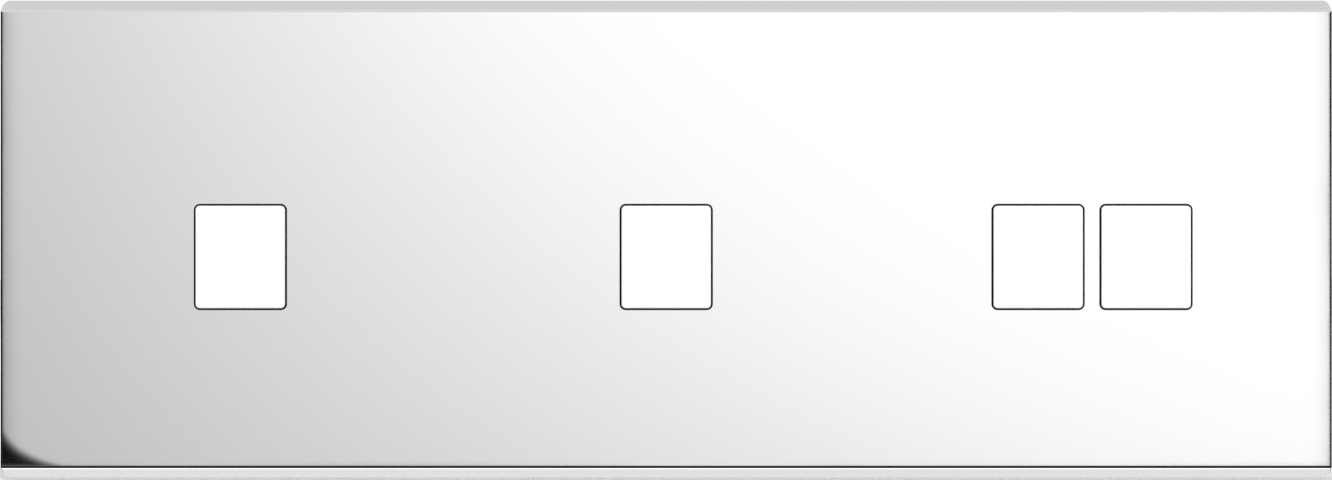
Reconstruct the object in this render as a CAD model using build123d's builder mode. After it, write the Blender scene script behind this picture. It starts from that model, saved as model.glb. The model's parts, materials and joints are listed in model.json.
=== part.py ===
"""A three-gang push-button switch plate, with the switches that it snaps on to.

X runs along the plate and Z is up. The wall is the plane Y = 0: the room is on its -Y side and the
wall boxes are on its +Y side. "Out" is a distance from the wall into the room, so out = -Y, and
"depth" is a distance behind the wall, so depth = Y. Millimetres throughout.
"""

import os

from build123d import *

# Layout: each gang fills a square of one box pitch
gang_pitch = 71.0
plate_margin = 4.5
gang_keys = {"left": ("left",), "centre": ("centre",), "right": ("right_inner", "right_outer")}

# Windows and keys
window_width = 15.5
window_height = 17.7
window_radius = 1.0
window_drop = 3.0
key_gap = 0.3
key_proud = 0.5
key_travel = 1.6
key_wall = 1.5
key_edge = 0.2
flange_lip = 0.8
flange_thickness = 1.2
flange_play = 0.05
stop_clearance = 0.4

# Face plate
face_wall = 2.0
side_wall = 2.5
bevel_height = 1.9
bevel_depth = 4.0
corner_radius = 1.0
edge_radius = 0.3
pocket_radius = 2.0
groove_depth = 0.8
groove_width = 1.6
groove_to_wall = 1.5
pry_notch_width = 10.0
pry_notch_depth = 1.0

# Key frames
frame_wall = 1.5
frame_seat = 0.05
frame_play = 0.25
frame_chamfer = 3.0
frame_window_clearance = 0.2
skirt_wall = 1.2
well_clearance = 0.2
well_wall = 1.1
well_end_clearance = 0.2
pad_size = 9.0
tongue_width = 8.0
tongue_spacing = 36.0
tongue_thickness = 1.2
nib_clearance = 0.1
nib_ramp = 0.6

# Clips that hold a key frame, its yoke and its base together
clip_width = 6.0
clip_spacing = 18.0
clip_thickness = 1.4
clip_clearance = 0.2
clip_flex = 0.8
clip_grip = 3.5
barb_height = 0.8
barb_length = 2.0
barb_clearance = 0.5

# Mounting yokes, with slots for the wall box's own screws and a folded earth tab
yoke_thickness = 1.0
yoke_setback = 0.2
yoke_spacing = 0.4
yoke_chamfer = 4.0
yoke_ledge = 1.0
box_screw_margin = 5.5
box_screw_radius = 1.75
box_head_radius = 3.3
box_head_clearance = 0.7
slot_length = 6.5
slot_clearance = 0.15
earth_tab_width = 6.3
earth_tab_length = 7.5
earth_tab_offset = 1.2
earth_tab_clearance = 0.3
earth_bend = 0.8
earth_clearance = 1.5

# Switch bases
base_size = 46.0
base_chamfer = 5.0
base_edge = 0.6
collar_clearance = 0.2
floor_wall = 2.0
chamber_clearance = 0.65
divider_wall = 1.5
terminal_depth = 12.0
terminal_pocket_width = 10.0
terminal_pocket_height = 9.0
terminal_pocket_depth = 6.0
label_width = 26.0
label_height = 15.0
label_depth = 0.5

# Key sliders
plug_clearance = 0.1
slider_head = 1.5
slider_rib = 1.8
slider_reach = 2.5
foot_width = 4.0
foot_length = 1.6

# Contacts
strip_thickness = 0.5
strip_width = 7.0
strip_bend = 0.9
strip_slot_clearance = 0.15
strip_end_clearance = 0.6
spring_play = 0.1
spring_heel = 1.6
spring_slope = 6.5
contact_travel = 1.2
contact_end_clearance = 0.2
tip_size = 2.8
tip_height = 0.8
tip_margin = 0.3

# Wire terminals
terminal_head_radius = 2.7
terminal_head_height = 2.0
drive_width = 0.8
drive_depth = 0.9
terminal_shank_radius = 1.5
terminal_screw_length = 6.5
clamp_size = 7.0
clamp_thickness = 1.0
screw_clearance = 0.05

# Sizes that follow
gang_count = len(gang_keys)
box_screw_spacing = gang_pitch - 2 * box_screw_margin
plate_width = gang_count * gang_pitch + 2 * plate_margin
plate_height = gang_pitch + 2 * plate_margin
pocket_width = plate_width - 2 * side_wall
pocket_height = plate_height - 2 * side_wall

key_width = window_width - 2 * key_gap
key_height = window_height - 2 * key_gap
key_radius = window_radius - key_gap
flange_width = key_width + 2 * flange_lip
flange_height = key_height + 2 * flange_lip
well_width = flange_width + 2 * well_clearance
well_height = flange_height + 2 * well_clearance
key_pitch = well_width + well_wall

yoke_size = gang_pitch - yoke_spacing
yoke_front = yoke_setback + yoke_thickness
yoke_opening = base_size - 2 * yoke_ledge
collar_size = yoke_opening - 2 * collar_clearance
pad_spacing = yoke_opening - base_chamfer
earth_fold = -(base_size / 2 + earth_clearance)

clip_outer = yoke_opening / 2 - clip_clearance
clip_inner = clip_outer - clip_thickness
clip_tip = clip_grip + barb_length
clip_slot_inner = clip_inner - clip_flex
clip_slot_end = clip_tip + barb_clearance
clip_slot_height = clip_width + 2 * clip_clearance

flange_back = yoke_front + key_travel + stop_clearance
flange_front = flange_back + flange_thickness
frame_back = flange_front + flange_play
frame_front = frame_back + frame_wall
plate_depth = frame_front + frame_seat + face_wall
key_front = plate_depth + key_proud
frame_width = box_screw_spacing - 2 * (box_head_radius + box_head_clearance)
frame_height = pocket_height - 2 * frame_play

slider_width = key_width - 2 * (key_wall + plug_clearance)
slider_height = key_height - 2 * (key_wall + plug_clearance)
chamber_width = slider_width + 2 * chamber_clearance
chamber_half_height = base_size / 2 - terminal_pocket_height - divider_wall
base_depth = terminal_depth + terminal_pocket_depth
terminal_height = base_size / 2 - terminal_pocket_height / 2
strip_end = base_size / 2 - strip_end_clearance
terminal_hole = 2 * (terminal_shank_radius + screw_clearance)
fork_root = terminal_height - terminal_hole / 2

foot_depth = slider_reach + foot_length
spring_depth = foot_depth + spring_play
contact_depth = spring_depth + strip_thickness + 2 * tip_height + contact_travel
contact_toe = chamber_half_height - strip_bend - contact_end_clearance
contact_reach = strip_bend + tip_size + 2 * tip_margin
tip_z = -(contact_toe - strip_bend - tip_margin - tip_size / 2)

# Places of the gangs, keys and terminals, as x or as (x, z)
gang_x = {gang: (index - (gang_count - 1) / 2) * gang_pitch for index, gang in enumerate(gang_keys)}
key_x = {}
for gang, keys in gang_keys.items():
    for index, key in enumerate(keys):
        key_x[key] = gang_x[gang] + (index - (len(keys) - 1) / 2) * key_pitch
key_points = [(x, -window_drop) for x in key_x.values()]
terminal_points = [(x, side * terminal_height) for x in key_x.values() for side in (-1, 1)]


def wall_plane(out, x=0.0, z=0.0):
    """A sketch plane parallel to the wall: its x is X, its y is Z and its normal points to the room."""
    return Plane(origin=(x, -out, z), x_dir=(1, 0, 0), z_dir=(0, -1, 0))


def write_piece(piece, name):
    """Label a finished piece and write it to a file of its own."""
    piece.part.label = name
    export_step(piece.part, f"parts/{name}.step")


def make_face_plate():
    """The polished plate: bevelled along its two long edges, square at its ends and hollow at the back."""
    half_height = plate_height / 2
    face_half_height = half_height - bevel_height
    shoulder = plate_depth - bevel_depth
    with BuildPart() as plate:
        with BuildSketch(Plane.YZ):
            with BuildLine():
                Polyline(
                    (0, -half_height),
                    (-shoulder, -half_height),
                    (-plate_depth, -face_half_height),
                    (-plate_depth, face_half_height),
                    (-shoulder, half_height),
                    (0, half_height),
                    close=True,
                )
            make_face()
        extrude(amount=plate_width / 2, both=True)
        fillet(plate.edges().filter_by(Axis.Y), corner_radius)
        rear_edges = plate.faces().sort_by(Axis.Y)[-1].edges()
        corner_seams = plate.edges().filter_by(Axis.Y)
        fillet(plate.edges() - rear_edges - corner_seams, edge_radius)
        with BuildSketch(wall_plane(0)):
            RectangleRounded(pocket_width, pocket_height, pocket_radius)
        extrude(amount=plate_depth - face_wall, mode=Mode.SUBTRACT)
        with BuildSketch(wall_plane(groove_to_wall)):
            with GridLocations(0, pocket_height, 1, 2):
                Rectangle(pocket_width - 2 * pocket_radius, 2 * groove_depth)
        extrude(amount=groove_width, mode=Mode.SUBTRACT)
        with BuildSketch(wall_plane(0)):
            with Locations((0, -half_height)):
                Rectangle(pry_notch_width, 2 * side_wall)
        extrude(amount=pry_notch_depth, mode=Mode.SUBTRACT)
        with BuildSketch(wall_plane(plate_depth)):
            with Locations(*key_points):
                RectangleRounded(window_width, window_height, window_radius)
        extrude(amount=-face_wall, mode=Mode.SUBTRACT)
    return plate


def make_key_frame(x, keys):
    """The moulding that guides one gang's keys, with tongues for the face plate and clips for the base."""
    edge = frame_height / 2
    nib_top = pocket_height / 2 + groove_depth - nib_clearance
    nib_tip = groove_to_wall + nib_clearance
    nib_root = groove_to_wall + groove_width - nib_clearance
    windows = [(key_x[key] - x, -window_drop) for key in keys]
    skirt_middle = (frame_width - skirt_wall) / 2
    tongue_planes = [Plane.YZ.offset(x + along * tongue_spacing / 2) for along in (-1, 1)]
    clip_planes = [Plane.XY.offset(along * clip_spacing / 2) for along in (-1, 1)]
    with BuildPart() as frame:
        with BuildSketch(wall_plane(frame_back, x)) as outline:
            Rectangle(frame_width, frame_height)
            chamfer(outline.vertices(), frame_chamfer)
        extrude(amount=frame_wall)
        with BuildSketch(wall_plane(yoke_front, x)):
            with GridLocations(pad_spacing, pad_spacing, 2, 2):
                Rectangle(pad_size, pad_size)
            with GridLocations(2 * skirt_middle, 0, 2, 1):
                Rectangle(skirt_wall, yoke_size - 2 * yoke_chamfer)
        extrude(amount=frame_back - yoke_front)
        for side in (-1, 1):
            with BuildSketch(*tongue_planes):
                with BuildLine():
                    Polyline(
                        (-frame_back, side * (edge - tongue_thickness)),
                        (-nib_tip, side * (edge - tongue_thickness)),
                        (-nib_tip, side * edge),
                        (-nib_tip - nib_ramp, side * nib_top),
                        (-nib_root, side * nib_top),
                        (-nib_root, side * edge),
                        (-frame_back, side * edge),
                        close=True,
                    )
                make_face()
            extrude(amount=tongue_width / 2, both=True)
            with BuildSketch(*clip_planes):
                with BuildLine():
                    Polyline(
                        (x + side * clip_inner, -frame_back),
                        (x + side * clip_outer, -frame_back),
                        (x + side * clip_outer, clip_grip),
                        (x + side * (clip_outer + barb_height), clip_grip),
                        (x + side * clip_outer, clip_tip),
                        (x + side * clip_inner, clip_tip),
                        close=True,
                    )
                make_face()
            extrude(amount=clip_width / 2, both=True)
        with BuildSketch(wall_plane(yoke_front + well_end_clearance, x)):
            with Locations(*windows):
                Rectangle(well_width + 2 * well_wall, well_height + 2 * well_wall)
        extrude(amount=frame_back - yoke_front - well_end_clearance)
        with BuildSketch(wall_plane(yoke_front, x)):
            with Locations(*windows):
                Rectangle(well_width, well_height)
        extrude(amount=frame_back - yoke_front, mode=Mode.SUBTRACT)
        with BuildSketch(wall_plane(frame_back, x)):
            with Locations(*windows):
                Rectangle(key_width + 2 * frame_window_clearance, key_height + 2 * frame_window_clearance)
        extrude(amount=frame_wall, mode=Mode.SUBTRACT)
    return frame


def make_mounting_yoke(x):
    """The flat steel plate that is screwed to the wall box: its earth tab is cut and folded out of it."""
    sheet_middle = yoke_setback + yoke_thickness / 2
    tab_middle = earth_fold - earth_tab_offset
    with BuildPart() as yoke:
        with BuildSketch(wall_plane(yoke_setback, x)) as sheet:
            Rectangle(yoke_size, yoke_size)
            chamfer(sheet.vertices(), yoke_chamfer)
            with BuildSketch(mode=Mode.SUBTRACT) as opening:
                Rectangle(yoke_opening, yoke_opening)
                chamfer(opening.vertices(), base_chamfer)
            with GridLocations(box_screw_spacing, 0, 2, 1):
                SlotOverall(slot_length, 2 * (box_screw_radius + slot_clearance), mode=Mode.SUBTRACT)
            with Locations((0, earth_fold - earth_tab_length / 2)):
                Rectangle(earth_tab_width + 2 * earth_tab_clearance, earth_tab_length, mode=Mode.SUBTRACT)
        extrude(amount=yoke_thickness)
        with BuildSketch(Plane.YZ.offset(x)):
            with BuildLine():
                FilletPolyline(
                    (-sheet_middle, earth_fold),
                    (-sheet_middle, tab_middle),
                    (earth_tab_length - earth_tab_offset - sheet_middle, tab_middle),
                    radius=earth_bend,
                )
            trace(line_width=yoke_thickness)
        extrude(amount=earth_tab_width / 2, both=True)
    return yoke


def make_switch_base(x, keys):
    """The moulded block behind the yoke: a chamber for each key, pockets for wires and a label field."""
    chambers = [key_x[key] - x for key in keys]
    slot_reach = chamber_half_height + divider_wall
    with BuildPart() as base:
        with BuildSketch(wall_plane(yoke_setback, x)) as body_outline:
            Rectangle(base_size, base_size)
            chamfer(body_outline.vertices(), base_chamfer)
        extrude(amount=-(yoke_setback + base_depth))
        chamfer(base.faces().sort_by(Axis.Y)[-1].edges(), base_edge)
        with BuildSketch(wall_plane(yoke_setback, x)) as collar_outline:
            Rectangle(collar_size, collar_size)
            chamfer(collar_outline.vertices(), base_chamfer)
        extrude(amount=yoke_thickness)
        with BuildSketch(wall_plane(yoke_front, x)):
            with Locations(*[(middle, 0) for middle in chambers]):
                Rectangle(chamber_width, 2 * chamber_half_height)
        extrude(amount=-(yoke_front + base_depth - floor_wall), mode=Mode.SUBTRACT)
        with BuildSketch(wall_plane(-base_depth, x)):
            with Locations(*[(middle, side * base_size / 2) for middle in chambers for side in (-1, 1)]):
                Rectangle(terminal_pocket_width, 2 * terminal_pocket_height)
        extrude(amount=terminal_pocket_depth, mode=Mode.SUBTRACT)
        with BuildSketch(wall_plane(-base_depth, x)):
            Rectangle(label_width, label_height)
        extrude(amount=label_depth, mode=Mode.SUBTRACT)
        with BuildSketch(wall_plane(-terminal_depth, x)):
            with Locations(*[(middle, 0) for middle in chambers]):
                Rectangle(strip_width + 2 * strip_slot_clearance, 2 * slot_reach)
        extrude(amount=-(strip_thickness + strip_slot_clearance), mode=Mode.SUBTRACT)
        with BuildSketch(wall_plane(-terminal_depth, x)):
            with Locations(*[(middle, side * terminal_height) for middle in chambers for side in (-1, 1)]):
                Circle(terminal_hole / 2)
        extrude(amount=terminal_screw_length - strip_thickness, mode=Mode.SUBTRACT)
        with BuildSketch(wall_plane(yoke_front, x)):
            with GridLocations(clip_slot_inner + yoke_opening / 2, clip_spacing, 2, 2):
                Rectangle(yoke_opening / 2 - clip_slot_inner, clip_slot_height)
        extrude(amount=-(yoke_front + clip_slot_end), mode=Mode.SUBTRACT)
        with BuildSketch(wall_plane(-clip_grip, x)):
            with GridLocations(base_size, clip_spacing, 2, 2):
                Rectangle(base_size - 2 * clip_slot_inner, clip_slot_height)
        extrude(amount=-(clip_slot_end - clip_grip), mode=Mode.SUBTRACT)
    return base


def make_key_cap(x):
    """The white key: a hollow cap whose flange stops it behind the key frame's window."""
    with BuildPart() as cap:
        with BuildSketch(wall_plane(flange_back, x, -window_drop)):
            Rectangle(flange_width, flange_height)
        extrude(amount=flange_thickness)
        with BuildSketch(wall_plane(flange_front, x, -window_drop)):
            RectangleRounded(key_width, key_height, key_radius)
        extrude(amount=key_front - flange_front)
        chamfer(cap.faces().sort_by(Axis.Y)[0].edges(), key_edge)
        with BuildSketch(wall_plane(flange_back, x, -window_drop)):
            Rectangle(key_width - 2 * key_wall, key_height - 2 * key_wall)
        extrude(amount=key_front - key_wall - flange_back, mode=Mode.SUBTRACT)
    return cap


def make_key_slider(x):
    """The cross-ribbed plunger plugged into a key: its foot pushes the contact spring."""
    head_back = key_front - key_wall - slider_head
    with BuildPart() as slider:
        with BuildSketch(wall_plane(head_back, x, -window_drop)):
            Rectangle(slider_width, slider_height)
        extrude(amount=slider_head)
        with BuildSketch(wall_plane(-slider_reach, x, -window_drop)):
            Rectangle(slider_width, slider_rib)
            Rectangle(slider_rib, slider_height)
        extrude(amount=slider_reach + head_back)
        with BuildSketch(wall_plane(-foot_depth, x, -window_drop)):
            Rectangle(foot_width, foot_width)
        extrude(amount=foot_length)
    return slider


def make_contact_spring(x):
    """The leaf that returns a key: from its terminal at the top, forward and down under the slider's foot."""
    strip_middle = terminal_depth + strip_thickness / 2
    leaf_middle = spring_depth + strip_thickness / 2
    heel = chamber_half_height - spring_heel
    with BuildPart() as spring:
        with BuildSketch(Plane.YZ.offset(x)):
            with BuildLine():
                FilletPolyline(
                    (strip_middle, strip_end),
                    (strip_middle, heel),
                    (leaf_middle, heel - spring_slope),
                    (leaf_middle, -contact_toe),
                    radius=strip_bend,
                )
            trace(line_width=strip_thickness)
        extrude(amount=strip_width / 2, both=True)
        with BuildSketch(wall_plane(-(spring_depth + strip_thickness), x, tip_z)):
            Rectangle(tip_size, tip_size)
        extrude(amount=-tip_height)
        with BuildSketch(wall_plane(-terminal_depth, x, (fork_root + strip_end) / 2)):
            Rectangle(terminal_hole, strip_end - fork_root)
        extrude(amount=-strip_thickness, mode=Mode.SUBTRACT)
    return spring


def make_fixed_contact(x):
    """The rigid strip from the lower terminal, folded so that its tip faces the spring's."""
    strip_middle = terminal_depth + strip_thickness / 2
    face_middle = contact_depth + strip_thickness / 2
    with BuildPart() as contact:
        with BuildSketch(Plane.YZ.offset(x)):
            with BuildLine():
                FilletPolyline(
                    (strip_middle, -strip_end),
                    (strip_middle, -contact_toe),
                    (face_middle, -contact_toe),
                    (face_middle, -contact_toe + contact_reach),
                    radius=strip_bend,
                )
            trace(line_width=strip_thickness)
        extrude(amount=strip_width / 2, both=True)
        with BuildSketch(wall_plane(-contact_depth, x, tip_z)):
            Rectangle(tip_size, tip_size)
        extrude(amount=tip_height)
        with BuildSketch(wall_plane(-terminal_depth, x, -(fork_root + strip_end) / 2)):
            Rectangle(terminal_hole, strip_end - fork_root)
        extrude(amount=-strip_thickness, mode=Mode.SUBTRACT)
    return contact


def make_terminal_screws():
    """Flat-headed slotted screws, worked from behind, that pull the clamps down on the wires."""
    seat = terminal_depth + strip_thickness + clamp_thickness
    with BuildPart() as screws:
        with BuildSketch(wall_plane(-seat)):
            with Locations(*terminal_points):
                Circle(terminal_head_radius)
        extrude(amount=-terminal_head_height)
        with BuildSketch(wall_plane(-seat - terminal_head_height)):
            with Locations(*terminal_points):
                Rectangle(2 * terminal_head_radius, drive_width)
        extrude(amount=drive_depth, mode=Mode.SUBTRACT)
        with BuildSketch(wall_plane(-seat)):
            with Locations(*terminal_points):
                Circle(terminal_shank_radius)
        extrude(amount=terminal_screw_length)
    return screws


def make_terminal_clamps():
    """The square washers that hold the wires down on the terminals."""
    with BuildPart() as clamps:
        with BuildSketch(wall_plane(-(terminal_depth + strip_thickness))):
            with Locations(*terminal_points):
                Rectangle(clamp_size, clamp_size)
                Rectangle(terminal_hole, terminal_hole, mode=Mode.SUBTRACT)
        extrude(amount=-clamp_thickness)
    return clamps


os.makedirs("parts", exist_ok=True)

write_piece(make_face_plate(), "face_plate")
for gang, keys in gang_keys.items():
    write_piece(make_key_frame(gang_x[gang], keys), f"key_frame_{gang}")
    write_piece(make_mounting_yoke(gang_x[gang]), f"mounting_yoke_{gang}")
    write_piece(make_switch_base(gang_x[gang], keys), f"switch_base_{gang}")
for key, x in key_x.items():
    write_piece(make_key_cap(x), f"key_cap_{key}")
    write_piece(make_key_slider(x), f"key_slider_{key}")
    write_piece(make_contact_spring(x), f"contact_spring_{key}")
    write_piece(make_fixed_contact(x), f"fixed_contact_{key}")
write_piece(make_terminal_screws(), "terminal_screws")
write_piece(make_terminal_clamps(), "terminal_clamps")
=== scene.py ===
"""Looks for the three-gang switch plate: fine edges, materials, a small studio and the camera.

Metres throughout, in the frame of the CAD model: X along the plate, Y into the wall and Z up.
"""

import json
import math

import bmesh
import bpy
from mathutils import Matrix, Vector

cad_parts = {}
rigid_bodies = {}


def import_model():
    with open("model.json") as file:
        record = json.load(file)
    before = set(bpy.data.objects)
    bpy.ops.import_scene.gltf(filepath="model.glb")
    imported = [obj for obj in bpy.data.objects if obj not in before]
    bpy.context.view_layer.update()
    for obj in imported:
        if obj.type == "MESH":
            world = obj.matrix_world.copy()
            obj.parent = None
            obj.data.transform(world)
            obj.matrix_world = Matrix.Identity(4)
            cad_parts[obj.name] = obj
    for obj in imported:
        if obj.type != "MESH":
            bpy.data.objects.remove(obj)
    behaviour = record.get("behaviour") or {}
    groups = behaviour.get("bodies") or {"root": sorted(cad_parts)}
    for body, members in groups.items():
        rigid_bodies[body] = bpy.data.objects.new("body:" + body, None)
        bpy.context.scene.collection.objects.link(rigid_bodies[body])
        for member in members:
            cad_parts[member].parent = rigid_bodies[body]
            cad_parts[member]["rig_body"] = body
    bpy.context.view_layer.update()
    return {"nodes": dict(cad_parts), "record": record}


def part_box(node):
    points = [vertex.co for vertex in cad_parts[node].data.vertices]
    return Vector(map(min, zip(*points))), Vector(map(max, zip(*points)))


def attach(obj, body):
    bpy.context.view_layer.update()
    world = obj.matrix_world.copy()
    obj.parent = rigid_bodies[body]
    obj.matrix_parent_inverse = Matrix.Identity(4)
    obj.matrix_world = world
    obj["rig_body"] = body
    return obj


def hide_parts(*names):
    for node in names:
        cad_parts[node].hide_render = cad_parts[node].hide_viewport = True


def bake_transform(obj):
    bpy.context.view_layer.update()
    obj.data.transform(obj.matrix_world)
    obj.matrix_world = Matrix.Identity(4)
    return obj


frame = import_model()
cad_nodes = frame["nodes"]

mm = 0.001

# Face plate, with the sizes of its CAD solid
bevel_height = 1.9 * mm
bevel_depth = 4.0 * mm
corner_radius = 1.0 * mm
edge_radius = 0.3 * mm
face_wall = 2.0 * mm
side_wall = 2.5 * mm
pocket_radius = 2.0 * mm
groove_depth = 0.8 * mm
groove_width = 1.6 * mm
groove_to_wall = 1.5 * mm
pry_notch_width = 10.0 * mm
pry_notch_depth = 1.0 * mm
window_radius = 1.0 * mm
cut_edge = 0.05 * mm

# Keys
key_names = ("left", "centre", "right_inner", "right_outer")
flange_lip = 0.8 * mm
flange_thickness = 1.2 * mm
key_gap = 0.3 * mm
key_wall = 1.5 * mm
key_edge = 0.25 * mm
# How far back the key stays white; behind that it is painted black, as painted shade in the gap round the
# key
white_rim = 0.65 * mm
flange_edge = 0.1 * mm
cavity_radius = 0.3 * mm

# Terminal screws
screw_head_radius = 2.7 * mm
screw_head_height = 2.0 * mm
screw_head_edge = 0.3 * mm
screw_shank_radius = 1.5 * mm
thread_depth = 0.2 * mm
thread_pitch = 0.5 * mm
drive_width = 0.8 * mm
drive_depth = 0.9 * mm
cross_length = 3.0 * mm
screw_turn = math.radians(37)

# One turn of a thread: places along it, as shares of the pitch, and how deep the shank is cut there
thread_turn = ((0.1, thread_depth), (0.5, 0), (0.9, thread_depth))

# Edges of the carried-over solids
weld_distance = 0.001 * mm
moulded_edge = 0.15 * mm
stamped_edge = 0.08 * mm

# Corners of a rectangle, in turn
corner_signs = ((1, 1), (-1, 1), (-1, -1), (1, -1))

# Steps of round shapes
corner_steps = 8
circle_steps = 48
plate_edge_steps = 6
fine_edge_steps = 2

# Angles: the turn at which an edge is rounded or kept sharp, and the least turn from face to window wall
plate_edge_turn = math.radians(25)
cut_edge_turn = math.radians(50)
solid_edge_turn = math.radians(40)
sharp_turn = math.radians(35)
steep = math.radians(60)

# Noise in the materials: its detail, and the two levels that most of it lies between
noise_detail = 4
noise_low = 0.3
noise_high = 0.7

# Studio: what only mirrors see is called a card or a strip if it is bright, and a flag if it is dark
chrome_grey = 0.9
camera_distance = 0.8
card_distance = 1.2
floor_clearance = 0.05 * mm
strip_overhang = 1.0 * mm
flag_reach = 2.4 * mm
lift = 0.02 * mm
dark = 0.006

# The photo in pixels: its size, and the plate's width and middle in it
photo_width = 1332
photo_height = 480
photo_face_width = 1331.5
photo_face_centre = 666.2
photo_face_middle = 239

# The camera's sensor and lens are in millimetres
sensor_width = 36.0

# Sizes and places that follow from the frame
plate_low, plate_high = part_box("face_plate")
plate_width = plate_high.x - plate_low.x
plate_height = plate_high.z - plate_low.z
plate_depth = plate_high.y - plate_low.y
face_height = plate_height - 2 * bevel_height
floor_height = plate_low.z - floor_clearance
pocket_width = plate_width - 2 * side_wall
pocket_height = plate_height - 2 * side_wall
key_boxes = {key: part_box(f"key_cap_{key}") for key in key_names}
key_front = key_boxes["left"][0].y
key_width = key_boxes["left"][1].x - key_boxes["left"][0].x - 2 * flange_lip
key_height = key_boxes["left"][1].z - key_boxes["left"][0].z - 2 * flange_lip
key_centres = {key: (low + high) / 2 for key, (low, high) in key_boxes.items()}
window_width = key_width + 2 * key_gap
window_height = key_height + 2 * key_gap


def add_object(name, mesh):
    """A new object in the scene that shows the mesh."""
    piece = bpy.data.objects.new(name, mesh)
    bpy.context.scene.collection.objects.link(piece)
    return piece


def rounded_rectangle(width, height, radius, x=0.0, z=0.0):
    """Points (x, z) round a rectangle with rounded corners."""
    points = []
    for corner, (side, rise) in enumerate(corner_signs):
        for step in range(corner_steps + 1):
            angle = (corner + step / corner_steps) * math.pi / 2
            across = side * (width / 2 - radius) + radius * math.cos(angle)
            up = rise * (height / 2 - radius) + radius * math.sin(angle)
            points.append((x + across, z + up))
    return points


def rectangle(width, height, x=0.0, z=0.0):
    """Points (x, z) of a plain rectangle."""
    return [(x + side * width / 2, z + rise * height / 2) for side, rise in corner_signs]


def at_depth(points, y):
    """Points (x, z) set in the plane at that Y."""
    return [(x, y, z) for x, z in points]


def loft(name, loops):
    """A closed mesh through loops of as many points each, with a flat cap at both ends."""
    shape = bmesh.new()
    rings = [[shape.verts.new(point) for point in loop] for loop in loops]
    for first, second in zip(rings, rings[1:]):
        for index in range(len(first)):
            follows = (index + 1) % len(first)
            shape.faces.new((first[index], first[follows], second[follows], second[index]))
    shape.faces.new(rings[0])
    shape.faces.new(rings[-1])
    bmesh.ops.recalc_face_normals(shape, faces=shape.faces)
    mesh = bpy.data.meshes.new(name)
    shape.to_mesh(mesh)
    shape.free()
    return mesh


def prism(name, outline, start, end):
    """An outline of points (x, z) pulled along Y from start to end."""
    return loft(name, [at_depth(outline, start), at_depth(outline, end)])


def add_boolean(piece, operation, cutter_mesh):
    """Cut the piece with a mesh, or keep only what lies inside the mesh."""
    cutter = add_object(f"{piece.name}_cutter", cutter_mesh)
    cutter.hide_render = True
    step = piece.modifiers.new(operation, "BOOLEAN")
    step.operation = operation
    step.solver = "EXACT"
    step.object = cutter


def add_bevel(piece, width, steps, turn):
    """Round the edges where the surface turns by more than that angle."""
    bevel = piece.modifiers.new("edges", "BEVEL")
    bevel.width = width
    bevel.segments = steps
    bevel.limit_method = "ANGLE"
    bevel.angle_limit = turn
    bevel.use_clamp_overlap = False


def settle(piece):
    """Apply the piece's modifiers, then remove the cutters that they used."""
    cutters = [step.object for step in piece.modifiers if step.type == "BOOLEAN"]
    graph = bpy.context.evaluated_depsgraph_get()
    shaped = bpy.data.meshes.new_from_object(piece.evaluated_get(graph))
    piece.modifiers.clear()
    piece.data = shaped
    for cutter in cutters:
        bpy.data.objects.remove(cutter)


def smooth(piece):
    """Smooth shading that keeps flat faces flat and sharp edges sharp."""
    piece.data.shade_smooth()
    piece.data.set_sharp_from_angle(angle=sharp_turn)
    step = piece.modifiers.new("flat_faces", "WEIGHTED_NORMAL")
    step.keep_sharp = True


def make_face_plate():
    """The plate: a bevelled bar with rounded corners, hollowed behind, grooved and pierced for the keys."""
    rear_excess = 2 * mm
    half_height = plate_height / 2
    face_half_height = half_height - bevel_height
    shoulder = plate_depth - bevel_depth
    past_half_height = half_height + bevel_height
    past_shoulder = bevel_depth - shoulder
    bar_back = past_shoulder + 2 * rear_excess
    profile = (
        (bar_back, -past_half_height),
        (past_shoulder, -past_half_height),
        (-plate_depth, -face_half_height),
        (-plate_depth, face_half_height),
        (past_shoulder, past_half_height),
        (bar_back, past_half_height),
    )
    ends = [[(side * plate_width, y, z) for y, z in profile] for side in (-1, 1)]
    plate = add_object("plate", loft("plate", ends))
    front_view = rounded_rectangle(plate_width, plate_height, corner_radius)
    add_boolean(plate, "INTERSECT", prism("front_view", front_view, -2 * plate_depth, rear_excess))
    add_bevel(plate, edge_radius, plate_edge_steps, plate_edge_turn)
    behind_wall = rectangle(2 * plate_width, 2 * plate_height)
    add_boolean(plate, "DIFFERENCE", prism("behind_wall", behind_wall, 0, 2 * rear_excess))
    pocket = rounded_rectangle(pocket_width, pocket_height, pocket_radius)
    add_boolean(plate, "DIFFERENCE", prism("pocket", pocket, face_wall - plate_depth, rear_excess))
    groove_length = pocket_width - 2 * pocket_radius
    groove_front = -(groove_to_wall + groove_width)
    for side in (-1, 1):
        groove = rectangle(groove_length, 2 * groove_depth, 0, side * pocket_height / 2)
        add_boolean(plate, "DIFFERENCE", prism("groove", groove, groove_front, -groove_to_wall))
    notch = rectangle(pry_notch_width, 2 * (side_wall + rear_excess), 0, -half_height)
    add_boolean(plate, "DIFFERENCE", prism("notch", notch, -pry_notch_depth, rear_excess))
    for centre in key_centres.values():
        window = rounded_rectangle(window_width, window_height, window_radius, centre.x, centre.z)
        add_boolean(plate, "DIFFERENCE", prism("window", window, -2 * plate_depth, 0))
    add_bevel(plate, cut_edge, fine_edge_steps, cut_edge_turn)
    settle(plate)
    smooth(plate)
    return plate


def inside_plate(polygon):
    """Whether a face of the plate is out of sight: in its hollow, or on a window's wall, whose dark plating
    is also painted shade in the gap round a key.
    """
    x, y, z = polygon.center
    reach = groove_depth + 2 * cut_edge
    if y > face_wall - plate_depth - cut_edge:
        return abs(x) < pocket_width / 2 + reach and abs(z) < pocket_height / 2 + reach
    for centre in key_centres.values():
        near_x = abs(x - centre.x) < window_width / 2 + cut_edge
        near_z = abs(z - centre.z) < window_height / 2 + cut_edge
        if near_x and near_z:
            return abs(polygon.normal.y) < math.cos(steep)
    return False


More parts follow.
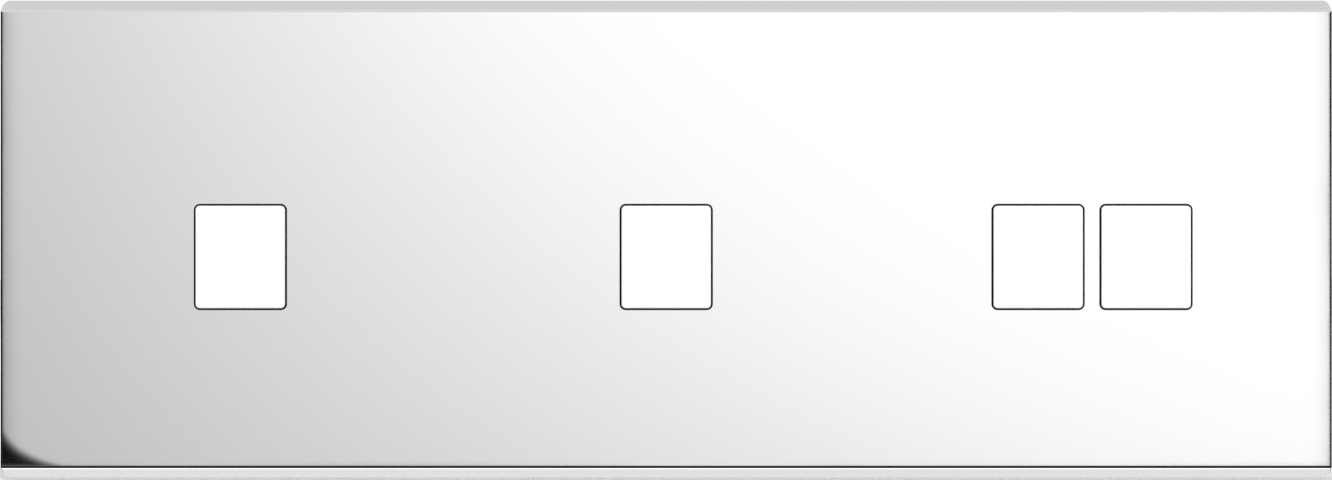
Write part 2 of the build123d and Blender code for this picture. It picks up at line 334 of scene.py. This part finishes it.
def make_key_cap(key):
    """A key: hollow, with a flange behind the plate, a skirt and a front with a rounded edge."""
    low, high = key_boxes[key]
    centre = key_centres[key]
    flange_width = key_width + 2 * flange_lip
    flange_height = key_height + 2 * flange_lip
    key_radius = window_radius - key_gap
    flange_front = high.y - flange_thickness

    def ring(inset, radius, y, width=key_width, height=key_height):
        """An outline of the key at that Y, drawn in by the inset all round."""
        outline = rounded_rectangle(width - 2 * inset, height - 2 * inset, radius, centre.x, centre.z)
        return at_depth(outline, y)

    rings = [
        ring(key_wall, cavity_radius, low.y + key_wall),
        ring(key_wall, cavity_radius, high.y),
        ring(flange_edge, cavity_radius, high.y, flange_width, flange_height),
        ring(0, cavity_radius, high.y - flange_edge, flange_width, flange_height),
        ring(0, cavity_radius, flange_front + flange_edge, flange_width, flange_height),
        ring(flange_edge, cavity_radius, flange_front, flange_width, flange_height),
        ring(0, key_radius, flange_front),
        ring(0, key_radius, low.y + white_rim),
    ]
    for step in range(corner_steps + 1):
        angle = step / corner_steps * math.pi / 2
        inset = key_edge * (1 - math.cos(angle))
        rings.append(ring(inset, key_radius - inset, low.y + key_edge * (1 - math.sin(angle))))
    cap = add_object(f"key_{key}", loft(f"key_{key}", rings))
    smooth(cap)
    return cap


def in_painted_gap_shade(polygon):
    """Whether a face of a key is behind its white front: on the skirt and flange, which are painted black
    as painted shade in the gap round the key.
    """
    return polygon.center.y > key_front + white_rim


def circle(radius, y):
    """Points round the Y axis."""
    angles = [index * 2 * math.pi / circle_steps for index in range(circle_steps)]
    return [(radius * math.cos(angle), y, radius * math.sin(angle)) for angle in angles]


def make_screw(length):
    """One terminal screw, with its seat at the origin and its head towards +Y.

    It has a thread, and a drive with one slot right across and a shorter one over it.
    """
    rings = [circle(screw_shank_radius - 2 * thread_depth, -length)]
    turns = int(length / thread_pitch)
    for turn in range(turns):
        y = -length + turn * thread_pitch
        for along, cut in thread_turn:
            rings.append(circle(screw_shank_radius - cut, y + along * thread_pitch))
    rings.append(circle(screw_shank_radius - thread_depth, 0))
    rings.append(circle(screw_head_radius - screw_head_edge / 2, 0))
    rings.append(circle(screw_head_radius, screw_head_edge / 2))
    for step in range(corner_steps + 1):
        angle = step / corner_steps * math.pi / 2
        radius = screw_head_radius - screw_head_edge * (1 - math.cos(angle))
        rings.append(circle(radius, screw_head_height - screw_head_edge * (1 - math.sin(angle))))
    screw = add_object("screw", loft("screw", rings))
    slot_floor = screw_head_height - drive_depth
    long_slot = rectangle(4 * screw_head_radius, drive_width)
    short_slot = rectangle(drive_width, cross_length)
    for slot in (long_slot, short_slot):
        add_boolean(screw, "DIFFERENCE", prism("drive", slot, slot_floor, 2 * screw_head_height))
    settle(screw)
    return screw


def make_terminal_screws():
    """All the terminal screws as one piece, each stopped at an angle of its own."""
    low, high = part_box("terminal_screws")
    seat = high.y - screw_head_height
    height = high.z - screw_head_radius
    screw = make_screw(seat - low.y)
    shape = bmesh.new()
    spots = [(centre.x, side * height) for centre in key_centres.values() for side in (-1, 1)]
    for index, (x, z) in enumerate(spots):
        first_new = len(shape.verts)
        shape.from_mesh(screw.data)
        shape.verts.ensure_lookup_table()
        place = Matrix.Translation((x, seat, z)) @ Matrix.Rotation(index * screw_turn, 4, "Y")
        bmesh.ops.transform(shape, matrix=place, verts=shape.verts[first_new:])
    mesh = bpy.data.meshes.new("slotted_screws")
    shape.to_mesh(mesh)
    shape.free()
    bpy.data.objects.remove(screw)
    screws = add_object("slotted_screws", mesh)
    smooth(screws)
    return screws


def grey(level):
    """A colour with as much red as green and blue."""
    return (level, level, level)


def new_material(name, colour, metallic, roughness):
    """A material with one surface shader."""
    material = bpy.data.materials.new(name)
    material.use_nodes = True
    surface = material.node_tree.nodes["Principled BSDF"]
    surface.inputs["Base Color"].default_value = (*colour, 1)
    surface.inputs["Metallic"].default_value = metallic
    surface.inputs["Roughness"].default_value = roughness
    return material


def add_noise(material, grain, stretch=(1, 1, 1)):
    """Noise with grains of that size, stretched along the axes, as an output from 0 to 1."""
    tree = material.node_tree
    place = tree.nodes.new("ShaderNodeTexCoord")
    mapping = tree.nodes.new("ShaderNodeMapping")
    noise = tree.nodes.new("ShaderNodeTexNoise")
    mapping.inputs["Scale"].default_value = [1 / amount for amount in stretch]
    noise.inputs["Scale"].default_value = 1 / grain
    noise.inputs["Detail"].default_value = noise_detail
    tree.links.new(place.outputs["Object"], mapping.inputs["Vector"])
    tree.links.new(mapping.outputs["Vector"], noise.inputs["Vector"])
    return noise.outputs["Fac"]


def vary_roughness(material, source, low, high):
    """Let the roughness follow a noise."""
    tree = material.node_tree
    spread = tree.nodes.new("ShaderNodeMapRange")
    spread.inputs["From Min"].default_value = noise_low
    spread.inputs["From Max"].default_value = noise_high
    spread.inputs["To Min"].default_value = low
    spread.inputs["To Max"].default_value = high
    tree.links.new(source, spread.inputs["Value"])
    tree.links.new(spread.outputs["Result"], tree.nodes["Principled BSDF"].inputs["Roughness"])


def vary_colour(material, source, first, second):
    """Let the colour follow a noise, from the first to the second."""
    tree = material.node_tree
    ramp = tree.nodes.new("ShaderNodeValToRGB")
    stops = ramp.color_ramp.elements
    for stop, position, colour in zip(stops, (noise_low, noise_high), (first, second)):
        stop.position = position
        stop.color = (*colour, 1)
    tree.links.new(source, ramp.inputs["Fac"])
    tree.links.new(ramp.outputs["Color"], tree.nodes["Principled BSDF"].inputs["Base Color"])


def add_bump(material, source, strength, height):
    """Let the surface rise with a noise by up to that height."""
    tree = material.node_tree
    bump = tree.nodes.new("ShaderNodeBump")
    bump.inputs["Strength"].default_value = strength
    bump.inputs["Distance"].default_value = height
    tree.links.new(source, bump.inputs["Height"])
    tree.links.new(bump.outputs["Normal"], tree.nodes["Principled BSDF"].inputs["Normal"])


def make_chrome():
    """Mirror-polished plating with faint wiping marks."""
    material = new_material("polished_chrome", grey(chrome_grey), metallic=1.0, roughness=0.012)
    wiping = add_noise(material, grain=12 * mm, stretch=(3, 1, 1))
    vary_roughness(material, wiping, low=0.008, high=0.02)
    return material


def make_plating_with_painted_shade():
    """The unpolished plating inside the plate, dark grey: dull plating, and painted shade on the windows'
    walls round the keys.
    """
    material = new_material("dull_plating_and_painted_shade", colour=(0.3, 0.3, 0.31), metallic=1.0, roughness=0.4)
    vary_roughness(material, add_noise(material, grain=2 * mm), low=0.32, high=0.5)
    add_bump(material, add_noise(material, grain=0.3 * mm), strength=0.3, height=0.02 * mm)
    return material


def make_plastic(name, colour, shade, roughness, grain, bump):
    """A moulded plastic with a fine tool texture and a slight unevenness of colour and gloss."""
    smoothest = 0.93 * roughness
    roughest = 1.07 * roughness
    material = new_material(name, colour, metallic=0.0, roughness=roughness)
    vary_colour(material, add_noise(material, grain=20 * mm), colour, shade)
    vary_roughness(material, add_noise(material, grain=4 * mm), smoothest, roughest)
    add_bump(material, add_noise(material, grain), strength=bump, height=0.02 * mm)
    return material


def make_rolled_metal(name, colour, shade, smoothest, roughest):
    """Rolled strip: streaks along the rolling direction and faint stains."""
    material = new_material(name, colour, metallic=1.0, roughness=smoothest)
    vary_colour(material, add_noise(material, grain=6 * mm), colour, shade)
    streaks = add_noise(material, grain=0.15 * mm, stretch=(1, 1, 25))
    vary_roughness(material, streaks, smoothest, roughest)
    add_bump(material, streaks, strength=0.25, height=0.01 * mm)
    return material


def make_zinc_steel():
    """Zinc-plated steel: cool and faintly mottled, with a satin sheen."""
    cool = (0.56, 0.59, 0.64)
    warm = (0.68, 0.67, 0.63)
    material = new_material("zinc_steel", colour=(0.6, 0.62, 0.65), metallic=1.0, roughness=0.3)
    vary_colour(material, add_noise(material, grain=9 * mm), cool, warm)
    vary_roughness(material, add_noise(material, grain=1.5 * mm), low=0.24, high=0.42)
    add_bump(material, add_noise(material, grain=0.25 * mm), strength=0.25, height=0.015 * mm)
    return material


def soften_solid(solid, edge):
    """Round the edges of a carried-over solid."""
    weld = solid.modifiers.new("weld", "WELD")
    weld.merge_threshold = weld_distance
    add_bevel(solid, edge, fine_edge_steps, solid_edge_turn)
    solid.modifiers["edges"].harden_normals = True


def dress(piece, node, slot):
    """Let a piece stand for a CAD node on the body that carries it, in the finish of a slot."""
    piece.data.materials.append(finishes[slot])
    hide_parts(node)
    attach(piece, cad_nodes[node]["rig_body"])


def make_spring_leaf(key):
    """A contact spring: a copy of its CAD solid with softened edges, which stands in for it."""
    node = f"contact_spring_{key}"
    leaf = add_object(f"spring_leaf_{key}", cad_nodes[node].data.copy())
    soften_solid(leaf, stamped_edge)
    settle(leaf)
    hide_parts(node)
    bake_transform(leaf)


def paint_faces(piece, material, chosen):
    """Give a second material to the faces of a piece that the test picks out."""
    piece.data.materials.append(material)
    for polygon in piece.data.polygons:
        polygon.material_index = int(chosen(polygon))


def make_emission(name, strength):
    """A plain glowing material."""
    material = bpy.data.materials.new(name)
    material.use_nodes = True
    tree = material.node_tree
    tree.nodes.remove(tree.nodes["Principled BSDF"])
    glow = tree.nodes.new("ShaderNodeEmission")
    glow.inputs["Strength"].default_value = strength
    tree.links.new(glow.outputs["Emission"], tree.nodes["Material Output"].inputs["Surface"])
    return material


def add_panel(name, corners, material):
    """A flat stage panel that only mirrors see."""
    mesh = bpy.data.meshes.new(name)
    mesh.from_pydata(corners, [], [(0, 1, 2, 3)])
    mesh.materials.append(material)
    panel = add_object(name, mesh)
    panel.visible_camera = False
    panel.visible_diffuse = False
    panel.visible_shadow = False
    panel.visible_transmission = False
    panel.visible_volume_scatter = False


def add_strip(name, start, end, z, material):
    """A level panel along the plate, from one Y to another."""
    reach = plate_width / 2 + strip_overhang
    add_panel(name, [(-reach, start, z), (reach, start, z), (reach, end, z), (-reach, end, z)], material)


def calculate(tree, operation, *values, clamp=False):
    """A math node on numbers or outputs, as its output."""
    step = tree.nodes.new("ShaderNodeMath")
    step.operation = operation
    step.use_clamp = clamp
    for socket, value in zip(step.inputs, values):
        if isinstance(value, (int, float)):
            socket.default_value = value
        else:
            tree.links.new(value, socket)
    return step.outputs["Value"]


def split_place(tree, kind):
    """The outputs X, Y and Z of a place or direction."""
    place = tree.nodes.new("ShaderNodeTexCoord")
    parts = tree.nodes.new("ShaderNodeSeparateXYZ")
    tree.links.new(place.outputs[kind], parts.inputs["Vector"])
    return parts.outputs


def add_bands(tree, source, bands):
    """A smooth run of levels along a source from 0 to 1, as an output."""
    ramp = tree.nodes.new("ShaderNodeValToRGB")
    ramp.color_ramp.interpolation = "EASE"
    stops = ramp.color_ramp.elements
    for position, level in bands:
        stops.new(position).color = (*grey(level), 1)
    stops.remove(stops[0])
    stops.remove(stops[-1])
    tree.links.new(source, ramp.inputs["Fac"])
    return ramp.outputs["Color"]


def add_patches(tree, kind, size, swing):
    """Soft patches of that size, from minus to plus half the swing."""
    place = tree.nodes.new("ShaderNodeTexCoord")
    patches = tree.nodes.new("ShaderNodeTexNoise")
    patches.inputs["Scale"].default_value = 1 / size
    patches.inputs["Detail"].default_value = 0
    tree.links.new(place.outputs[kind], patches.inputs["Vector"])
    return calculate(tree, "MULTIPLY_ADD", patches.outputs["Fac"], swing, -swing / 2)


def fall_off(tree, from_end, width, power, loss):
    """A factor that falls from 1 by the loss, over a width at the end."""
    closeness = calculate(tree, "SUBTRACT", 1, calculate(tree, "DIVIDE", from_end, width), clamp=True)
    return calculate(tree, "MULTIPLY_ADD", calculate(tree, "POWER", closeness, power), -loss, 1)


def past_edge(tree, from_edge, start):
    """A factor that goes from 0 to 1 at a distance from an edge."""
    softness = 0.05 * mm
    return calculate(tree, "MULTIPLY_ADD", from_edge, 1 / softness, -start / softness, clamp=True)


def light_card(tree, from_left, from_foot):
    """The main card's brightness at distances on the mirroring face: brighter to the upper right."""
    foot_start = 0.516
    foot_gain = 0.477
    rise_start = 0.112
    rise_gain = 0.402
    brightest = 1.0
    shoulder = 0.19
    end_line = 0.26 * mm
    foot_line = 0.1 * mm
    across = calculate(tree, "DIVIDE", from_left, plate_width, clamp=True)
    up = calculate(tree, "DIVIDE", from_foot, face_height, clamp=True)
    foot_level = calculate(tree, "MULTIPLY_ADD", across, foot_gain, foot_start)
    rise = calculate(tree, "MULTIPLY_ADD", across, rise_gain, rise_start)
    level = calculate(tree, "MULTIPLY_ADD", rise, up, foot_level)
    level = calculate(tree, "SMOOTH_MIN", level, brightest, shoulder)
    from_right = calculate(tree, "SUBTRACT", plate_width, from_left)
    left_end = fall_off(tree, from_left, width=5 * mm, power=3, loss=0.38)
    level = calculate(tree, "MULTIPLY", level, left_end)
    right_end = fall_off(tree, from_right, width=3.7 * mm, power=2, loss=0.22)
    level = calculate(tree, "MULTIPLY", level, right_end)
    for from_edge, start in ((from_left, end_line), (from_right, end_line), (from_foot, foot_line)):
        level = calculate(tree, "MULTIPLY", level, past_edge(tree, from_edge, start))
    return level


def cut_card_corner(tree, from_left, from_foot):
    """A factor that is 0 outside the main card's rounded lower left corner.

    The corner's edge is sharp at both ends and softens towards its middle.
    """
    corner_width = 13.0 * mm
    corner_height = 7.1 * mm
    corner_rise = 6.9 * mm
    end_softness = 0.02
    middle_softness = 0.5
    half_edge = 0.5
    edge_power = 2
    left = calculate(tree, "SUBTRACT", 1, calculate(tree, "DIVIDE", from_left, corner_width))
    left = calculate(tree, "MAXIMUM", left, 0)
    down = calculate(tree, "DIVIDE", calculate(tree, "SUBTRACT", corner_rise, from_foot), corner_height)
    down = calculate(tree, "MAXIMUM", down, 0)
    square = calculate(tree, "MULTIPLY_ADD", left, left, calculate(tree, "MULTIPLY", down, down))
    inside = calculate(tree, "SUBTRACT", 1, calculate(tree, "SQRT", square))
    middle = calculate(tree, "MULTIPLY", left, down)
    softness = calculate(tree, "MULTIPLY_ADD", middle, middle_softness, end_softness)
    edge = tree.nodes.new("ShaderNodeMapRange")
    edge.interpolation_type = "SMOOTHSTEP"
    edge.inputs["From Min"].default_value = -half_edge
    edge.inputs["From Max"].default_value = half_edge
    tree.links.new(calculate(tree, "DIVIDE", inside, softness), edge.inputs["Value"])
    return calculate(tree, "POWER", edge.outputs["Result"], edge_power)


def make_main_card():
    """The softbox that the plate's face mirrors to the camera."""
    margin = 1.4
    spread = 1 + (card_distance - plate_depth) / (camera_distance - plate_depth)
    material = make_emission("main_card", 1)
    tree = material.node_tree
    place = split_place(tree, "Object")
    from_left = calculate(tree, "MULTIPLY_ADD", place["X"], 1 / spread, plate_width / 2)
    from_foot = calculate(tree, "MULTIPLY_ADD", place["Z"], 1 / spread, face_height / 2)
    level = light_card(tree, from_left, from_foot)
    level = calculate(tree, "MULTIPLY_ADD", level, cut_card_corner(tree, from_left, from_foot), dark)
    level = calculate(tree, "DIVIDE", level, chrome_grey)
    tree.links.new(level, tree.nodes["Emission"].inputs["Strength"])
    outline = rectangle(margin * spread * plate_width, margin * spread * face_height)
    add_panel("main_card", at_depth(outline, -card_distance), material)


def make_small_panels():
    """Dark flags and bright strips close to the plate, which draw fine lines along its polished edges."""
    top = face_height / 2
    front = -plate_depth
    strip_height = floor_height + lift
    flag = make_emission("flag", dark)

    flag_front = front - 1.2 * mm
    flag_back = front + 0.5 * mm
    flag_clearance = 0.1 * mm
    for side in (-1, 1):
        x = side * (plate_width / 2 + flag_clearance)
        outline = [(x, flag_front, -top), (x, flag_back, -top), (x, flag_back, top), (x, flag_front, top)]
        add_panel("end_flag", outline, flag)

    foot_flag_back = front + 0.35 * mm
    foot_flag_drop = 0.28 * mm
    add_strip("foot_flag", front - flag_reach, foot_flag_back, -top - foot_flag_drop, flag)

    line_front = front + 0.38 * mm
    line_back = front + 2.1 * mm
    line_level = 1.3
    add_strip("foot_line", line_front, line_back, strip_height, make_emission("foot_line", line_level))

    under_back = -1 * mm
    under_level = 0.82
    add_strip("under_card", line_back, under_back, strip_height, make_emission("under_card", under_level))


def make_floor_cards():
    """The floor as mirrors see it, in front and behind: glowing cards with painted light, and a painted
    shadow that is darkest at the plate's foot.

    Each card slopes away from the plate, just under what the camera sees mirrored in the face.
    """
    far = 700 * mm
    half_width = 1.0
    slope = 0.046
    # Levels away from the plate: a painted shadow at its foot, then painted light that fades far off
    painted_floor_bands = ((0.004, 0.06), (0.11, 0.72), (0.3, 1.0), (0.95, 0.6))
    material = make_emission("floor_card", 1)
    tree = material.node_tree
    place = split_place(tree, "Object")
    past_end = calculate(tree, "SUBTRACT", calculate(tree, "ABSOLUTE", place["X"]), plate_width / 2)
    from_plate = calculate(tree, "MAXIMUM", calculate(tree, "ABSOLUTE", place["Y"]), past_end)
    along = calculate(tree, "DIVIDE", from_plate, far)
    bands = add_bands(tree, along, painted_floor_bands)
    patches = add_patches(tree, "Object", size=0.15, swing=0.6)
    level = calculate(tree, "MULTIPLY_ADD", bands, patches, bands)
    tree.links.new(level, tree.nodes["Emission"].inputs["Strength"])
    for toward, near in ((-1, plate_depth + flag_reach), (1, -plate_depth - flag_reach)):
        outline = [
            (side * half_width, toward * reach, floor_height + lift - slope * (reach - near))
            for side, reach in ((-1, far), (1, far), (1, near), (-1, near))
        ]
        add_panel("floor_card", outline, material)


def make_floor():
    """A wide pale floor under the plate, which mirrors don't see."""
    reach = 4.0
    corners = [(side * reach, depth * reach, floor_height) for side, depth in corner_signs]
    mesh = bpy.data.meshes.new("floor")
    mesh.from_pydata(corners, [], [(0, 1, 2, 3)])
    paint = new_material("floor_paint", grey(0.82), metallic=0.0, roughness=0.6)
    vary_roughness(paint, add_noise(paint, grain=30 * mm), low=0.55, high=0.7)
    mesh.materials.append(paint)
    floor = add_object("floor", mesh)
    floor.visible_glossy = False


def make_room():
    """Even light all round: white behind the object, and a sky of soft bands in mirrors."""
    low_bands = ((0.2, 0.8), (0.42, 0.4), (0.5, 0.3), (0.65, 1.0))
    high_bands = ((0.86, 0.69), (0.88, 0.68), (0.925, 0.4), (0.99, 0.9))
    patch_fade = 1.5
    ambient = 0.75
    half = 0.5
    world = bpy.data.worlds.new("studio")
    world.use_nodes = True
    bpy.context.scene.world = world
    tree = world.node_tree
    z = split_place(tree, "Generated")["Z"]
    sky = add_bands(tree, calculate(tree, "MULTIPLY_ADD", z, half, half), low_bands + high_bands)
    low_down = calculate(tree, "SUBTRACT", 1, calculate(tree, "MULTIPLY", z, patch_fade, clamp=True))
    patches = add_patches(tree, "Generated", size=0.45, swing=0.7)
    mirrored = calculate(tree, "MULTIPLY_ADD", patches, low_down, sky)
    path = tree.nodes.new("ShaderNodeLightPath")
    to_mirror = path.outputs["Is Glossy Ray"]
    difference = calculate(tree, "SUBTRACT", mirrored, ambient)
    level = calculate(tree, "MULTIPLY_ADD", difference, to_mirror, ambient)
    level = calculate(tree, "MAXIMUM", level, path.outputs["Is Camera Ray"])
    tree.links.new(level, tree.nodes["Background"].inputs["Strength"])
    tree.nodes["Background"].inputs["Color"].default_value = (1, 1, 1, 1)


def add_softbox(name, place, size, power):
    """A square area light, aimed at the plate, that mirrors don't see."""
    light = bpy.data.lights.new(name, "AREA")
    light.size = size
    light.energy = power
    lamp = bpy.data.objects.new(name, light)
    bpy.context.scene.collection.objects.link(lamp)
    lamp.location = place
    lamp.rotation_euler = (-Vector(place)).to_track_quat("-Z", "Y").to_euler()
    lamp.visible_glossy = False


def make_camera():
    """A camera straight in front of the plate, with the photo's framing."""
    pixel = plate_width / photo_face_width
    camera_data = bpy.data.cameras.new("camera")
    camera_data.sensor_width = sensor_width
    camera_data.lens = sensor_width * (camera_distance - plate_depth) / (photo_width * pixel)
    camera = bpy.data.objects.new("camera", camera_data)
    side = (photo_width / 2 - photo_face_centre) * pixel
    camera.location = (side, -camera_distance, (photo_face_middle - photo_height / 2) * pixel)
    camera.rotation_euler = (math.pi / 2, 0, 0)
    bpy.context.scene.collection.objects.link(camera)
    bpy.context.scene.camera = camera


# Finishes, by the record's material slots
finishes = {
    "polished_chrome": make_chrome(),
    "white_plastic": make_plastic(
        "white_plastic",
        colour=grey(0.94),
        shade=grey(0.93),
        roughness=0.28,
        grain=0.3 * mm,
        bump=0.03,
    ),
    "black_plastic": make_plastic(
        "black_plastic",
        colour=(0.02, 0.02, 0.021),
        shade=grey(0.028),
        roughness=0.55,
        grain=0.15 * mm,
        bump=0.35,
    ),
    "grey_plastic": make_plastic(
        "grey_plastic",
        colour=(0.7, 0.71, 0.7),
        shade=(0.66, 0.67, 0.665),
        roughness=0.45,
        grain=0.2 * mm,
        bump=0.25,
    ),
    "natural_plastic": make_plastic(
        "natural_plastic",
        colour=(0.86, 0.84, 0.78),
        shade=(0.82, 0.8, 0.73),
        roughness=0.35,
        grain=0.3 * mm,
        bump=0.1,
    ),
    "zinc_steel": make_zinc_steel(),
    "spring_bronze": make_rolled_metal(
        "spring_bronze",
        colour=(0.72, 0.5, 0.33),
        shade=(0.65, 0.44, 0.3),
        smoothest=0.22,
        roughest=0.38,
    ),
    "contact_brass": make_rolled_metal(
        "contact_brass",
        colour=(0.8, 0.66, 0.36),
        shade=(0.74, 0.58, 0.3),
        smoothest=0.2,
        roughest=0.36,
    ),
}

# Solids with the fine edges of stamped metal, and solids that a piece made here stands for
stamped = ("zinc_steel", "spring_bronze", "contact_brass")
remade = ["face_plate", "terminal_screws"]
for key in key_names:
    remade.extend((f"key_cap_{key}", f"contact_spring_{key}"))

for subpart in frame["record"]["subparts"]:
    node = subpart["node"]
    slot = subpart["material_slot"]
    for material_slot in cad_nodes[node].material_slots:
        material_slot.material = finishes[slot]
    if node not in remade:
        soften_solid(cad_nodes[node], stamped_edge if slot in stamped else moulded_edge)

plate = make_face_plate()
dress(plate, "face_plate", "polished_chrome")
# Inside the plate: dull plating, whose dark grey is also painted shade on the windows' walls round the keys
paint_faces(plate, make_plating_with_painted_shade(), inside_plate)
for key in key_names:
    cap = make_key_cap(key)
    dress(cap, f"key_cap_{key}", "white_plastic")
    # The white key's skirt and flange are painted black: painted shade in the gap round the key
    paint_faces(cap, finishes["black_plastic"], in_painted_gap_shade)
    make_spring_leaf(key)
dress(make_terminal_screws(), "terminal_screws", "contact_brass")

make_main_card()
make_small_panels()
make_floor_cards()
make_floor()
make_room()
add_softbox("front_softbox", place=(0.5, -1.2, 0.7), size=0.9, power=10)
add_softbox("rear_softbox", place=(-0.6, 1.0, 0.9), size=0.9, power=6)
make_camera()
bpy.context.scene.view_settings.view_transform = "Standard"
